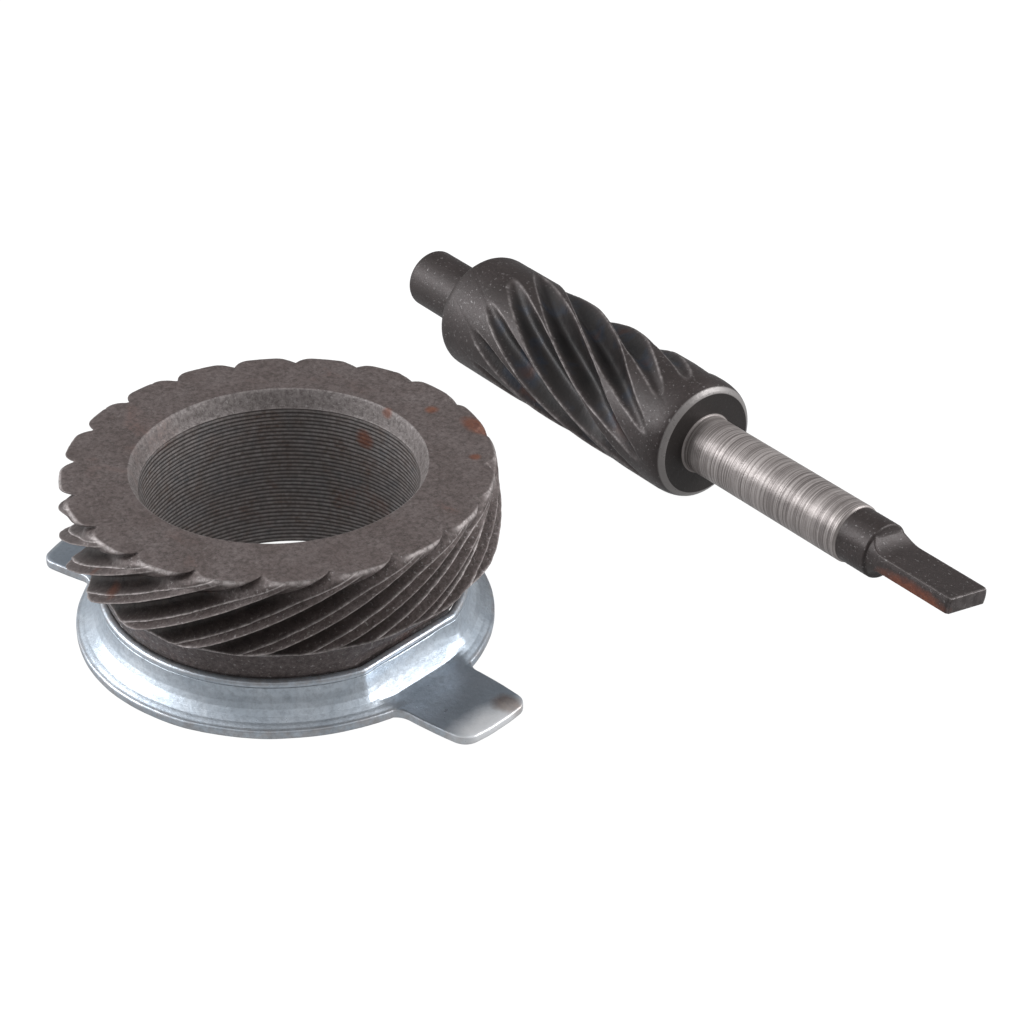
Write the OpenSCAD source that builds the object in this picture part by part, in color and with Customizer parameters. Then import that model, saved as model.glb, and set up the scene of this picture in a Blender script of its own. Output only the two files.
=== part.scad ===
// Crossed-axis drive set: a helical wheel that runs on a hub axle, the eared
// drive plate that sits under it, and the many-start worm shaft it turns.
// The wheel and plate stand on the ground plane z = 0; the shaft lies beside
// them, out of mesh, resting on its worm head. Millimetres, +Z up. The origin
// is the centre of the wheel's bore at its lower face.

/* [Wheel] */
// Radius over the wheel's teeth at the flat top
wheel_tip_r = 20; // [19.6:0.1:20.2]
// How much the teeth widen towards their feet, on radius
wheel_flare = 0.42; // [0:0.02:0.6]
// Radius at the bottom of the wheel's tooth grooves
wheel_root_r = 17.9; // [17.75:0.05:18.2]
// Height of the wheel from its lower face to its flat top
wheel_h = 16.8; // [15.5:0.1:18]
// Number of teeth on the wheel
wheel_teeth = 20; // [18:1:22]
// Axial lead of one wheel tooth
wheel_lead = 57.8; // [50:0.2:70]
// Direction of one groove centre at the flat top, degrees from +X
wheel_phase = 16.3; // [0:0.1:18]
// Radius of the wheel's bore
bore_r = 12.9; // [11:0.1:13.2]
// Radius of the smooth lead-in at the top of the bore
bore_mouth_r = 13.64; // [13.3:0.01:14]
// Depth of the lead-in
bore_mouth_depth = 1.75; // [0.5:0.05:3]
// Share of the tooth spacing that is flat land at the tip
wheel_land = 0.2; // [0.12:0.01:0.3]

/* [Drive plate] */
// Outer radius of the plate's rim
plate_r = 19.7; // [19.4:0.1:20.5]
// Thickness of the sheet
sheet_t = 0.85; // [0.7:0.05:0.95]
// Outer radius of the upturned collar
collar_r = 17.32; // [17.2:0.02:17.5]
// Height of the collar above the ground plane
collar_h = 4.5; // [4.1:0.1:4.5]
// Distance from the wheel axis to the outer face of the collar's two flats
collar_flat = 16.3; // [16.1:0.05:16.6]
// Clearance between the collar and the wheel's spigot, at the flats
spigot_gap = 0.06; // [0.03:0.01:0.1]
// Distance from the wheel axis to the tip of an ear
ear_reach = 27.2; // [25:0.1:30]
// Half width of an ear where it leaves the rim
ear_root_w = 4.5; // [4:0.05:5.5]
// Half width of an ear at its tip
ear_tip_w = 4.2; // [3.2:0.05:4.6]
// Direction of the first ear, degrees from +X
ear_dir = 9.9; // [0:0.1:20]
// Angle from the first ear to the second
ear_spread = 193.6; // [175:0.1:195]
// Distance from the wheel axis to the tip of the second ear
ear2_reach = 25.7; // [25:0.1:28]

/* [Worm shaft] */
// Radius over the worm's threads
worm_tip_r = 6.3; // [6.1:0.05:6.5]
// Radius at the bottom of the worm's grooves
worm_root_r = 4.58; // [4.4:0.02:4.8]
// Number of starts on the worm
worm_starts = 11; // [10:1:12]
// Axial lead of one thread
worm_lead = 80; // [60:0.5:90]
// Direction of one ridge centre at the head's tang-side face, degrees
worm_phase = 22; // [0:0.5:32]
// Length of the worm head
head_len = 35.8; // [34:0.1:38]
// Share of the thread spacing that is flat land at the tip
worm_land = 0.05; // [0.04:0.01:0.2]
// Radius of the ground journal on the tang side
shank_r = 3.0; // [2.9:0.05:3.2]
// Length of the ground journal
shank_len = 21.4; // [18:0.1:24]
// Radius of the unground step after the journal
step_r = 2.83; // [2.7:0.01:2.84]
// Length of the unground step
step_len = 3.8; // [2.5:0.1:5]
// Radius of the blank that the tang is cut from
tang_r = 2.6; // [2.4:0.05:2.7]
// Thickness of the tang across its flats
tang_t = 1.62; // [1.3:0.02:2.2]
// Length from the step to the end of the tang
tang_len = 10.7; // [9:0.1:12]
// Roll of the tang about the shaft, degrees
tang_roll = -9.5; // [-45:0.5:45]
// Radius of the pilot journal at the other end
pilot_r = 3.2; // [3:0.05:3.5]
// Length of the pilot journal
pilot_len = 10; // [8:0.1:12]

/* [Layout] */
// Distance between the wheel axis and the shaft axis as laid out
shaft_y = 44.9; // [36:0.1:60]
// Position along X of the head's tang-side face
head_x = 8.5; // [0:0.1:20]

/* [Hidden] */

// spigot under the teeth, and the heights of the wheel's outline
hole_r = collar_r - sheet_t;      // round part of the plate's hole
hole_flat = collar_flat - sheet_t;
spigot_r = hole_flat - spigot_gap;
neck_z = collar_h + 0.1;          // where the steep neck starts
neck_top_z = 7.7;                 // where the tooth ends begin
foot_z = 9.5;                     // where the teeth reach full height
bevel_z = wheel_h - 0.4;          // where the top edge rounds over

// colours
dark_steel = [0.20, 0.17, 0.155];
zinc = [0.72, 0.76, 0.80];
shaft_steel = [0.24, 0.21, 0.20];

function clamp01(x) = x < 0 ? 0 : x > 1 ? 1 : x;

// Height of a tooth flank from 0 at the root to 1 at the land, for the
// fraction t of the half spacing counted from the groove centre.
function flank(t, land) = pow(clamp01((t - 0.10) / (1 - land - 0.10)), 1.6);

// Where the flank points of one tooth lie, as fractions of the half spacing.
function stations(land) = [0.10, 0.30, 0.50, 0.70, 1 - land];
// the same on both sides of the groove, from -1 to 1
function spacing_pts(land) = let (s = stations(land), n = len(s))
    concat([for (i = [n - 1 : -1 : 0]) -s[i]], s);

// piecewise-linear lookup of a value in a table of [position, value]
function lookup_lin(p, z, i = 0) =
    z <= p[0][0] ? p[0][1] :
    i >= len(p) - 2 || z <= p[i + 1][0] ?
        let (a = p[i], b = p[i + 1], u = clamp01((z - a[0]) / (b[0] - a[0])))
        a[1] + (b[1] - a[1]) * u :
    lookup_lin(p, z, i + 1);

// outline of the wheel body: [height, radius]
wheel_env = [
    [neck_z, hole_r + 0.15],
    [neck_top_z, wheel_root_r - 0.15],
    [foot_z, wheel_tip_r + wheel_flare * 0.8],
    [10.2, wheel_tip_r + wheel_flare],
    [12, wheel_tip_r + wheel_flare * 0.9],
    [14, wheel_tip_r + wheel_flare * 0.55],
    [bevel_z, wheel_tip_r],
    [wheel_h, wheel_tip_r - 0.33]];
// distance of the neck's two flats from the axis, behind those of the collar
neck_flat = [
    [neck_z, spigot_r + 0.12],
    [5.3, spigot_r + 0.2],
    [6.1, spigot_r + 0.8],
    [6.8, spigot_r + 2.2],
    [neck_top_z, 30]];
wheel_rings = concat(
    [neck_z, 5.3, 6.1, 6.8, neck_top_z, (neck_top_z + foot_z) / 2],
    [for (i = [0 : 6]) foot_z + (bevel_z - foot_z) * i / 6],
    [wheel_h]);

// outline of the worm head, along s from the pilot-side face to the other
worm_env = [
    [-head_len, worm_tip_r - 0.5],
    [-head_len + 0.3, worm_tip_r - 0.18],
    [-head_len + 0.9, worm_tip_r],
    [-1.9, worm_tip_r],
    [-1.1, worm_tip_r - 0.12],
    [-0.4, worm_tip_r - 0.4],
    [0, worm_tip_r - 0.9]];
// radius at the middle of the grooves: they climb out at both ends of the head
groove_d = worm_tip_r - worm_root_r;
worm_floor = [
    [-head_len, worm_tip_r],
    [-head_len + 5.5, worm_tip_r],
    [-head_len + 6.8, worm_tip_r - groove_d * 0.20],
    [-head_len + 8.8, worm_tip_r - groove_d * 0.45],
    [-head_len + 10.8, worm_tip_r - groove_d * 0.61],
    [-head_len + 13.8, worm_tip_r - groove_d * 0.87],
    [-head_len + 16.8, worm_root_r],
    [-13, worm_root_r],
    [-11, worm_tip_r - groove_d * 0.84],
    [-9.4, worm_tip_r - groove_d * 0.58],
    [-6.1, worm_tip_r - groove_d * 0.29],
    [-4.0, worm_tip_r - groove_d * 0.17],
    [-2.6, worm_tip_r],
    [0, worm_tip_r]];
worm_rings = concat(
    [-head_len, -head_len + 0.3, -head_len + 0.9, -head_len + 3.2],
    [for (x = [5.5, 6.2, 6.8, 7.8, 8.8, 9.8, 10.8, 12.3, 13.8, 15.3, 16.8]) -head_len + x],
    [for (i = [1 : 4]) -head_len + 16.8 + (head_len - 29.8) * i / 5],
    [-13, -12, -11, -10.2, -9.4, -8.3, -7.2, -6.1, -5, -4.0, -3.3, -2.6, -1.9, -1.1, -0.4, 0]);

// One closed skin from rings of points, with flat ends.
module ringed_skin(rings) {
    n = len(rings[0]);
    m = len(rings);
    pts = [for (r = rings) each r];
    sides = [for (j = [0 : m - 2]) for (i = [0 : n - 1])
        let (a = j * n + i, b = j * n + (i + 1) % n, c = a + n, d = b + n)
        each [[a, c, b], [b, c, d]]];
    polyhedron(points = pts,
        faces = concat(sides, [[for (i = [0 : n - 1]) i]],
            [[for (i = [n - 1 : -1 : 0]) (m - 1) * n + i]]), convexity = 10);
}

// The toothed body of the wheel.
module wheel_body() {
    st = spacing_pts(wheel_land);
    pitch = 360 / wheel_teeth;
    ringed_skin([for (z = wheel_rings)
        [for (k = [0 : wheel_teeth - 1]) for (t = st)
            let (a = wheel_phase + (k + t / 2) * pitch + 360 * (z - wheel_h) / wheel_lead,
                 env = lookup_lin(wheel_env, z),
                 tip = max(env, lookup_lin(wheel_env, foot_z)),
                 tooth = wheel_root_r + ((z < foot_z ? tip : env) - wheel_root_r) * flank(abs(t), wheel_land),
                 off = abs((((a - ear_dir) % 180) + 270) % 180 - 90),
                 r = min(tooth, env, off < 60 ? lookup_lin(neck_flat, z) / cos(off) : env))
            [r * cos(a), r * sin(a), z]]]);
}

// The threaded head of the worm, along its own Z, pilot side down. Each groove
// is a shallow curve across; its middle follows worm_floor.
module worm_body() {
    pitch = 360 / worm_starts;
    st = [-(1 - worm_land), -0.78, -0.55, -0.3, -0.08, 0.08, 0.3, 0.55, 0.78, 1 - worm_land];
    ringed_skin([for (s = worm_rings)
        [for (k = [0 : worm_starts - 1]) for (t = st)
            let (a = worm_phase + (k + 0.5 + t / 2) * pitch + 360 * s / worm_lead,
                 x = t / (1 - worm_land),
                 groove = lookup_lin(worm_floor, s) + groove_d * x * x,
                 r = min(groove, lookup_lin(worm_env, s)))
            [r * cos(a), r * sin(a), s]]]);
}

// Helical wheel with its spigot, bore and lead-in.
module worm_gear() {
    color(dark_steel)
    difference() {
        union() {
            wheel_body();
            cylinder(r = spigot_r, h = neck_z + 1, $fn = 180);
        }
        translate([0, 0, -1]) cylinder(r = bore_r, h = wheel_h + 2, $fn = 180);
        translate([0, 0, wheel_h - bore_mouth_depth])
            cylinder(r1 = bore_r, r2 = 2 * bore_mouth_r - bore_r, h = 2 * bore_mouth_depth, $fn = 180);
    }
}

// Points of an arc.
function arc(cx, cy, r, a0, a1, n) =
    [for (i = [0 : n]) [cx + r * cos(a0 + (a1 - a0) * i / n), cy + r * sin(a0 + (a1 - a0) * i / n)]];

// Outline of one flat ear along +X, with a fillet to the rim and round corners.
module ear_outline(reach) {
    fillet = 1.9;
    corner = 1.6;
    fx = plate_r + 0.75;
    fy = ear_root_w + fillet;
    half = concat(
        [[plate_r - 2.2, ear_root_w + 0.2]],
        arc(fx, fy, fillet, 200, 270, 6),
        arc(reach - corner - 0.12, ear_tip_w - corner, corner, 88, 12, 6),
        [[reach, ear_tip_w * 0.35]]);
    polygon(concat(half, [for (i = [len(half) - 1 : -1 : 0]) [half[i][0], -half[i][1]]]));
}

// Stamped plate: rim, swept-up collar with two flats, and two ears.
module drive_plate() {
    color(zinc)
    difference() {
        union() {
            difference() {
                rotate_extrude($fn = 180)
                    polygon([
                        [plate_r, 0], [plate_r, sheet_t], [plate_r - 0.5, sheet_t + 0.18],
                        [plate_r - 1.1, 1.55], [plate_r - 1.65, 2.25], [plate_r - 2.05, 3.0],
                        [collar_r + 0.07, 3.7], [collar_r, collar_h],
                        [hole_flat - 0.5, collar_h], [hole_flat - 0.5, 2.4],
                        [hole_r - 0.2, 1.35], [hole_r + 0.9, 0.6],
                        [hole_r + 1.7, 0.12], [hole_r + 2.1, 0]]);
                // the collar's flats, sloping out to the ears
                for (a = [ear_dir, ear_dir + 180]) rotate([0, 0, a])
                    rotate([90, 0, 0]) translate([0, 0, -6.4]) linear_extrude(height = 12.8)
                        polygon([[collar_flat, 6], [collar_flat, 3.9], [collar_flat + 0.2, 3.2],
                                 [collar_flat + 0.65, 2.2], [collar_flat + 1.25, 1.25],
                                 [plate_r - 0.6, sheet_t + 0.12], [plate_r + 0.5, sheet_t + 0.05],
                                 [plate_r + 0.5, 6]]);
            }
            rotate([0, 0, ear_dir]) linear_extrude(height = sheet_t + 0.05) ear_outline(ear_reach);
            rotate([0, 0, ear_dir + ear_spread])
                linear_extrude(height = sheet_t + 0.05) ear_outline(ear2_reach);
        }
        // hole: round, with a flat under each of the collar's flats
        translate([0, 0, -1]) intersection() {
            cylinder(r = hole_r, h = collar_h + 2, $fn = 180);
            rotate([0, 0, ear_dir]) translate([-hole_flat, -20, 0]) cube([2 * hole_flat, 40, collar_h + 2]);
        }
    }
}

// Turned shaft: pilot, worm head, journal, step and tang, along its own Z.
module shaft_along_z() {
    step_end = shank_len + step_len;
    cutter = 2.4;
    union() {
        worm_body();
        // pilot with a broken edge
        translate([0, 0, -head_len - pilot_len + 0.5])
            cylinder(r = pilot_r, h = pilot_len + 0.5, $fn = 96);
        translate([0, 0, -head_len - pilot_len])
            cylinder(r1 = pilot_r - 0.5, r2 = pilot_r, h = 0.5, $fn = 96);
        // ground journal
        translate([0, 0, -1]) cylinder(r = shank_r, h = shank_len + 1 - 0.2, $fn = 96);
        translate([0, 0, shank_len - 0.2])
            cylinder(r1 = shank_r, r2 = step_r, h = 0.2, $fn = 96);
        // unground step
        translate([0, 0, shank_len - 0.1]) cylinder(r = step_r, h = step_len - 0.1, $fn = 96);
        translate([0, 0, step_end - 0.2])
            cylinder(r1 = step_r, r2 = step_r - 0.15, h = 0.2, $fn = 96);
        // tang, with the run-out that the cutter leaves at its root
        rotate([0, 0, tang_roll])
        difference() {
            translate([0, 0, step_end - 0.3]) cylinder(r = tang_r, h = tang_len + 0.3, $fn = 96);
            for (side = [-1, 1]) {
                translate([-4, side > 0 ? tang_t / 2 : -tang_t / 2 - 4, step_end + 2.1])
                    cube([8, 4, tang_len]);
                translate([-4, side * (tang_t / 2 + cutter), step_end + 2.1])
                    rotate([0, 90, 0]) cylinder(r = cutter, h = 8, $fn = 96);
            }
        }
    }
}

module worm_shaft() {
    color(shaft_steel)
    translate([head_x, shaft_y, worm_tip_r])
        rotate([90, 0, 90]) shaft_along_z();
}

worm_gear();
drive_plate();
worm_shaft();
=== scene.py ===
import bpy
import math
import numpy as np
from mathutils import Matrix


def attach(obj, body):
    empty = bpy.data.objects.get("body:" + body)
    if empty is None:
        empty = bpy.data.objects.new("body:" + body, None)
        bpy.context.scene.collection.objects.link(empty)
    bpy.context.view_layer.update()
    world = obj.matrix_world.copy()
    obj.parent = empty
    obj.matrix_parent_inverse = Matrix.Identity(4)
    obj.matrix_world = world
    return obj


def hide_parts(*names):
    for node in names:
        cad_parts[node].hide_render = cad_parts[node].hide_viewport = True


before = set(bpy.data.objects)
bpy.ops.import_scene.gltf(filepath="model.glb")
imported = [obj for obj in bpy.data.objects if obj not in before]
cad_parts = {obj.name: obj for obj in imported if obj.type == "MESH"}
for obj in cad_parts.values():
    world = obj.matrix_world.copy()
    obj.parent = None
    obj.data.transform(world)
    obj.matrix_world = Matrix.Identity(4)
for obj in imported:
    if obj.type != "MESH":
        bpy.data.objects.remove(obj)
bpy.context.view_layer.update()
MM = 0.001
PI = math.pi

# ------------------------------------------------------------------ noise
def _hash(ix, iy, iz, seed):
    h = (ix * 374761393 + iy * 668265263 + iz * 2147483647 + seed * 1274126177) & 0xFFFFFFFF
    h = ((h ^ (h >> 13)) * 1274126177) & 0xFFFFFFFF
    h = (h ^ (h >> 16)) & 0xFFFFFFFF
    h = (h * 2246822519) & 0xFFFFFFFF
    return ((h ^ (h >> 15)) & 0xFFFFFF) / float(0xFFFFFF)


def vnoise(p, scale, seed=0):
    """Smooth value noise in -1..1 at points p (n, 3), feature size = scale."""
    q = np.asarray(p, float) / scale + 1000.0
    i = np.floor(q).astype(np.int64)
    f = q - i
    f = f * f * (3 - 2 * f)
    out = np.zeros(len(q))
    for dx in (0, 1):
        wx = f[:, 0] if dx else 1 - f[:, 0]
        for dy in (0, 1):
            wy = f[:, 1] if dy else 1 - f[:, 1]
            for dz in (0, 1):
                wz = f[:, 2] if dz else 1 - f[:, 2]
                out += wx * wy * wz * _hash(i[:, 0] + dx, i[:, 1] + dy, i[:, 2] + dz, seed)
    return out * 2 - 1


def fbm(p, scale, seed=0, octaves=3):
    out = np.zeros(len(p))
    amp = 1.0
    tot = 0.0
    for k in range(octaves):
        out += amp * vnoise(p, scale / (2 ** k), seed + 17 * k)
        tot += amp
        amp *= 0.5
    return out / tot


def smooth(e0, e1, x):
    t = np.clip((np.asarray(x, float) - e0) / (e1 - e0), 0, 1)
    return t * t * (3 - 2 * t)


# ------------------------------------------------------------------ meshes
def grid_mesh(name, pts, attrs=None, cap_first=False, cap_last=False, close_v=False):
    """pts is (rings, n, 3); rings closed round; wound so that normals point out."""
    m, n, _ = pts.shape
    verts = pts.reshape(-1, 3)
    j = np.arange(m if close_v else m - 1)
    i = np.arange(n)
    J, I = np.meshgrid(j, i, indexing="ij")
    J2 = (J + 1) % m
    a = J * n + I
    b = J * n + (I + 1) % n
    c = J2 * n + (I + 1) % n
    d = J2 * n + I
    quads = np.stack([a, b, c, d], -1).reshape(-1, 4)
    me = bpy.data.meshes.new(name)
    loops = quads.reshape(-1)
    starts = np.arange(len(quads)) * 4
    totals = np.full(len(quads), 4)
    extra = []
    if cap_first:
        extra.append(np.arange(n)[::-1])
    if cap_last:
        extra.append((m - 1) * n + np.arange(n))
    for e in extra:
        starts = np.append(starts, len(loops))
        totals = np.append(totals, len(e))
        loops = np.append(loops, e)
    me.vertices.add(len(verts))
    me.vertices.foreach_set("co", (verts * MM).astype(np.float32).ravel())
    me.loops.add(len(loops))
    me.loops.foreach_set("vertex_index", loops.astype(np.int32))
    me.polygons.add(len(starts))
    me.polygons.foreach_set("loop_start", starts.astype(np.int32))
    me.polygons.foreach_set("loop_total", totals.astype(np.int32))
    me.polygons.foreach_set("use_smooth", np.ones(len(starts), bool))
    me.update(calc_edges=True)
    me.validate()
    if attrs:
        for key, val in attrs.items():
            at = me.attributes.new(key, "FLOAT", "POINT")
            at.data.foreach_set("value", np.asarray(val, np.float32).ravel())
    ob = bpy.data.objects.new(name, me)
    bpy.context.scene.collection.objects.link(ob)
    return ob


def refine_path(pts, step):
    """pts: list of (r, z) points. Returns densified arrays r, z."""
    r, z = [pts[0][0]], [pts[0][1]]
    for (r0, z0), (r1, z1) in zip(pts[:-1], pts[1:]):
        d = math.hypot(r1 - r0, z1 - z0)
        k = max(1, int(math.ceil(d / step)))
        for q in range(1, k + 1):
            r.append(r0 + (r1 - r0) * q / k)
            z.append(z0 + (z1 - z0) * q / k)
    return np.array(r), np.array(z)


def round_corner(p0, p1, p2, rad, n=5):
    """Points that round the corner at p1."""
    a = np.array(p0, float) - p1
    b = np.array(p2, float) - p1
    la, lb = np.linalg.norm(a), np.linalg.norm(b)
    a /= la
    b /= lb
    ang = math.acos(max(-1, min(1, float(a @ b))))
    t = min(rad / math.tan(ang / 2), la * 0.49, lb * 0.49)
    s, e = np.array(p1) + a * t, np.array(p1) + b * t
    out = []
    for k in range(n + 1):
        u = k / n
        out.append(tuple((1 - u) ** 2 * s + 2 * u * (1 - u) * np.array(p1) + u * u * e))
    return out


# ------------------------------------------------------------------ wheel
TEETH = 20
ROOT, H = 17.85, 16.8
LEAD = 57.8
PHASE = 16.3
BORE = 12.9
FLATS = (9.9, 189.9)


def wrap(a):
    return (a + PI) % (2 * PI) - PI


def flat_limit(th, d):
    """Radius of a pair of flats at distance d from the axis."""
    out = np.full(len(th), 99.0)
    for e in FLATS:
        p = wrap(th - math.radians(e))
        out = np.minimum(out, np.where(np.abs(p) < 1.2, d / np.maximum(np.cos(p), 0.2), 99.0))
    return out


def softmin(a, b, k):
    d = a - b
    return np.where(d < -k, a, np.where(d > k, b, (a + b) / 2 - d * d / (4 * k) - k / 4))


# height of the tooth form over one spacing, from groove centre to groove centre
TX = np.array([-0.50, -0.485, -0.46, -0.42, -0.37, -0.30, -0.20, -0.08, 0.04, 0.14, 0.22, 0.28, 0.325, 0.345, 0.362, 0.385, 0.42, 0.46, 0.485, 0.50])
TH = np.array([1.00, 0.96, 0.80, 0.54, 0.34, 0.18, 0.06, 0.00, 0.05, 0.17, 0.32, 0.47, 0.62, 0.655, 0.59, 0.63, 0.78, 0.93, 0.99, 1.00])


def build_gear():
    xs = np.concatenate([np.linspace(-0.5, -0.36, 9, endpoint=False), np.linspace(-0.36, 0.26, 15, endpoint=False),
                         np.linspace(0.26, 0.40, 14, endpoint=False), np.linspace(0.40, 0.5, 7, endpoint=False)])
    th0 = (np.arange(TEETH)[:, None] + xs[None, :]).ravel() * (2 * PI / TEETH) + math.radians(PHASE)
    n = len(th0)
    rings = []
    def add(kind, seg, step):
        r, z = refine_path(seg, step)
        for a, b in zip(r, z):
            rings.append((kind, a, b))
    add(0, [(13.6, 0.0), (15.0, 0.0)], 0.8)
    add(0, round_corner((15.0, 0), (15.35, 0), (15.35, 1), 0.25, 3), 0.3)
    add(0, [(15.35, 0.4), (15.35, 4.5)], 0.7)
    zs = np.concatenate([np.linspace(4.56, 7.3, 22), np.linspace(7.4, 10.0, 30),
                         np.linspace(10.15, 15.4, 38), np.linspace(15.5, 16.68, 14)])
    for z in zs:
        rings.append((1, 0.0, z))
    for k in range(17):
        rings.append((2, k / 16, 0.0))
    add(3, [(13.72, 16.79), (13.66, 16.76), (13.58, 16.66), (13.46, 16.4), (13.3, 16.0), (13.12, 15.5), (12.98, 15.14), (12.93, 15.05)], 0.2)
    for z in np.arange(14.99, 0.06, -0.0717):
        rings.append((4, BORE, z))
    add(5, [(12.92, 0.0), (13.3, 0.0)], 0.3)
    m = len(rings)
    P = np.zeros((m, n, 3))
    wear, groove_shade_amt, bore, top, turn = (np.zeros((m, n)) for _ in range(5))

    ez = np.array([4.4, 4.5, 4.62, 5.2, 6.4, 7.4, 7.75, 8.1, 8.6, 9.1, 9.6, 10.2, 12.0, 14.0, 16.0, 16.45, 16.65, 16.8])
    er = np.array([16.35, 16.55, 16.66, 16.85, 17.25, 17.62, 17.9, 18.4, 19.2, 19.85, 20.22, 20.40, 20.36, 20.20, 20.02, 19.95, 19.82, 19.6])
    gz = np.array([4.4, 5.2, 5.9, 6.4, 6.9, 7.2])
    gd = np.array([15.38, 15.40, 15.75, 16.4, 17.4, 19.0])

    def section(z, th):
        a0 = math.radians(PHASE) + 2 * PI * (z - H) / LEAD
        q = (th - a0) / (2 * PI / TEETH)
        c = np.stack([ROOT * np.cos(th), ROOT * np.sin(th), np.full_like(th, z)], -1)
        x = q - np.round(q)
        # uneven, ragged bright edge
        xr = x + 0.008 * fbm(c, 1.1, 5, 3) + 0.004 * vnoise(c, 0.35, 6)
        h = np.interp(xr, TX, TH)
        # towards the flat top the teeth turn into broad round lobes
        up = float(smooth(13.6, 16.4, z))
        lobe_h = 0.58 + 0.42 * (1 - (1 - np.minimum(np.abs(xr) / 0.30, 1.0)) ** 2)
        h = h * (1 - up) + np.maximum(h, lobe_h) * up
        env = np.interp(z, ez, er)
        tip = max(env, 20.3) if z < 10 else env
        tooth = ROOT + (tip - ROOT) * h
        # grooves run out to a narrow notch in the top face
        tooth = tooth - 0.45 * np.exp(-np.abs(x + 0.03) / 0.07) * smooth(15.0, 16.7, z)
        r = softmin(tooth, np.full_like(tooth, env), 0.10)
        lim = flat_limit(th, float(np.interp(z, gz, gd)))
        if z < 7.2:
            r = softmin(r, lim, 0.08)
        edge = np.exp(-((xr - 0.338) / 0.025) ** 2)
        low = np.exp(-((np.abs(xr) - 0.492) / 0.014) ** 2)
        chip = np.clip(fbm(c, 0.55, 9, 2) - 0.05, 0, 1)
        body = smooth(ROOT + 0.35, ROOT + 0.8, r)
        r = r - (edge * 0.16 + low * 0.10) * chip * body
        w = (edge + 0.45 * low) * body
        w = w * np.clip(0.80 + 0.55 * fbm(c, 0.5, 12, 2), 0, 1.2)
        near = np.exp(-((tooth - env) / 0.22) ** 2)
        foot = near * smooth(7.4, 7.9, z) * (1 - smooth(9.3, 9.8, z))
        w = np.maximum(w, 0.75 * foot)
        topedge = near * smooth(16.2, 16.6, z)
        w = np.maximum(w, 0.5 * topedge)
        # painted shade: darkening weight for the groove bottoms (deep) and the steep down-facing flank (drop)
        deep = 1 - smooth(0.0, 0.75, h)
        drop = smooth(-0.5, -0.47, x) * (1 - smooth(-0.42, -0.36, x))
        shade_amt = np.maximum(deep, 0.9 * drop) * smooth(7.3, 8.0, z) * smooth(0.0, 0.25, env - r + 0.1)
        return r, np.clip(w, 0, 1.2), shade_amt

    total = 2 * PI * (4.56 - H) / LEAD
    r_top, w_top, shade_top = section(16.68, th0 + 2 * PI * (16.68 - H) / LEAD)
    for j, (kind, rr, zz) in enumerate(rings):
        if kind == 0:
            th = th0 + total
        elif kind == 1:
            th = th0 + 2 * PI * (zz - H) / LEAD
        elif kind == 2:
            th = th0 + 2 * PI * (16.68 - H) / LEAD * (1 - rr)
        elif kind == 3:
            th = th0
        elif kind == 4:
            th = th0 + total * (14.99 - zz) / 14.95
        else:
            th = th0 + total
        if kind == 1:
            r, wear[j], groove_shade_amt[j] = section(zz, th)
            z = np.full(n, zz)
        elif kind == 2:
            u = rr
            r = r_top + (13.74 - r_top) * (u ** 1.4)
            z = np.full(n, 16.72) + 0.08 * smooth(0.0, 0.16, u)
            top[j] = 1
            wear[j] = w_top * (1 - smooth(0, 0.06, u)) * 0.5
            # painted groove shade carried a little way onto the top face's outer edge
            groove_shade_amt[j] = shade_top * (1 - smooth(0, 0.05, u)) * 0.6
        elif kind == 4:
            ph = zz / 0.43 + 0.12 * np.sin(th * 2 + zz) + 0.10 * vnoise(np.stack([13 * np.cos(th), 13 * np.sin(th), np.full(n, zz)], -1), 3.0, 91)
            cs = np.cos(2 * PI * ph)
            r = np.full(n, rr) - 0.055 * (0.5 + 0.5 * cs) + 0.02
            z = np.full(n, zz)
            bore[j] = 1
            turn[j] = 0.5 + 0.5 * cs
        else:
            r = np.full(n, float(rr))
            z = np.full(n, float(zz))
            if kind == 3:
                bore[j] = 0.5
                turn[j] = 0.6
        P[j, :, 0] = r * np.cos(th)
        P[j, :, 1] = r * np.sin(th)
        P[j, :, 2] = z
    flat = P.reshape(-1, 3)
    rad = np.hypot(flat[:, 0], flat[:, 1])
    dn = fbm(flat, 0.42, 21, 2) * 0.022
    dirx, diry = flat[:, 0] / rad, flat[:, 1] / rad
    kinds = np.repeat(np.array([k for k, _, _ in rings]), n)
    side = np.where(kinds == 1, dn, 0.0)
    flat[:, 0] += dirx * side
    flat[:, 1] += diry * side
    flat[:, 2] += np.where(kinds == 2, dn * 0.6 - 0.012, 0)
    flat[:, 2] = np.clip(flat[:, 2], 0.0, 16.8)
    P = flat.reshape(m, n, 3)
    return grid_mesh("wheel_detail", P, {"wear": wear, "groove_shade": groove_shade_amt, "borewall": bore, "topface": top, "turn": turn}, close_v=True)


# ------------------------------------------------------------------ plate
EARS = ((9.9, 27.2), (203.5, 25.7))
EAR_DIRS = (9.9, 203.5)
RIM = 19.7


def ear_outer(phi, reach):
    """Outer radius of the outline at angle phi (radians) from an ear's axis."""
    pts = []
    fr = 1.9
    fx, fy = RIM + 0.75, 4.5 + fr
    for a in np.linspace(200, 270, 15):
        pts.append((fx + fr * math.cos(math.radians(a)), fy + fr * math.sin(math.radians(a))))
    for a in np.linspace(88, 12, 15):
        pts.append((reach - 1.72 + 1.6 * math.cos(math.radians(a)), 4.2 - 1.6 + 1.6 * math.sin(math.radians(a))))
    pts.append((reach, 1.4))
    pts.append((reach, 0.0))
    pts = np.array(pts)
    ang = np.arctan2(pts[:, 1], pts[:, 0])
    rad = np.hypot(pts[:, 0], pts[:, 1])
    order = np.argsort(ang)
    ang, rad = ang[order], rad[order]
    p = np.abs(phi)
    out = np.interp(p, ang, rad)
    return np.where(p > ang[-1], RIM, np.maximum(out, RIM))


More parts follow.
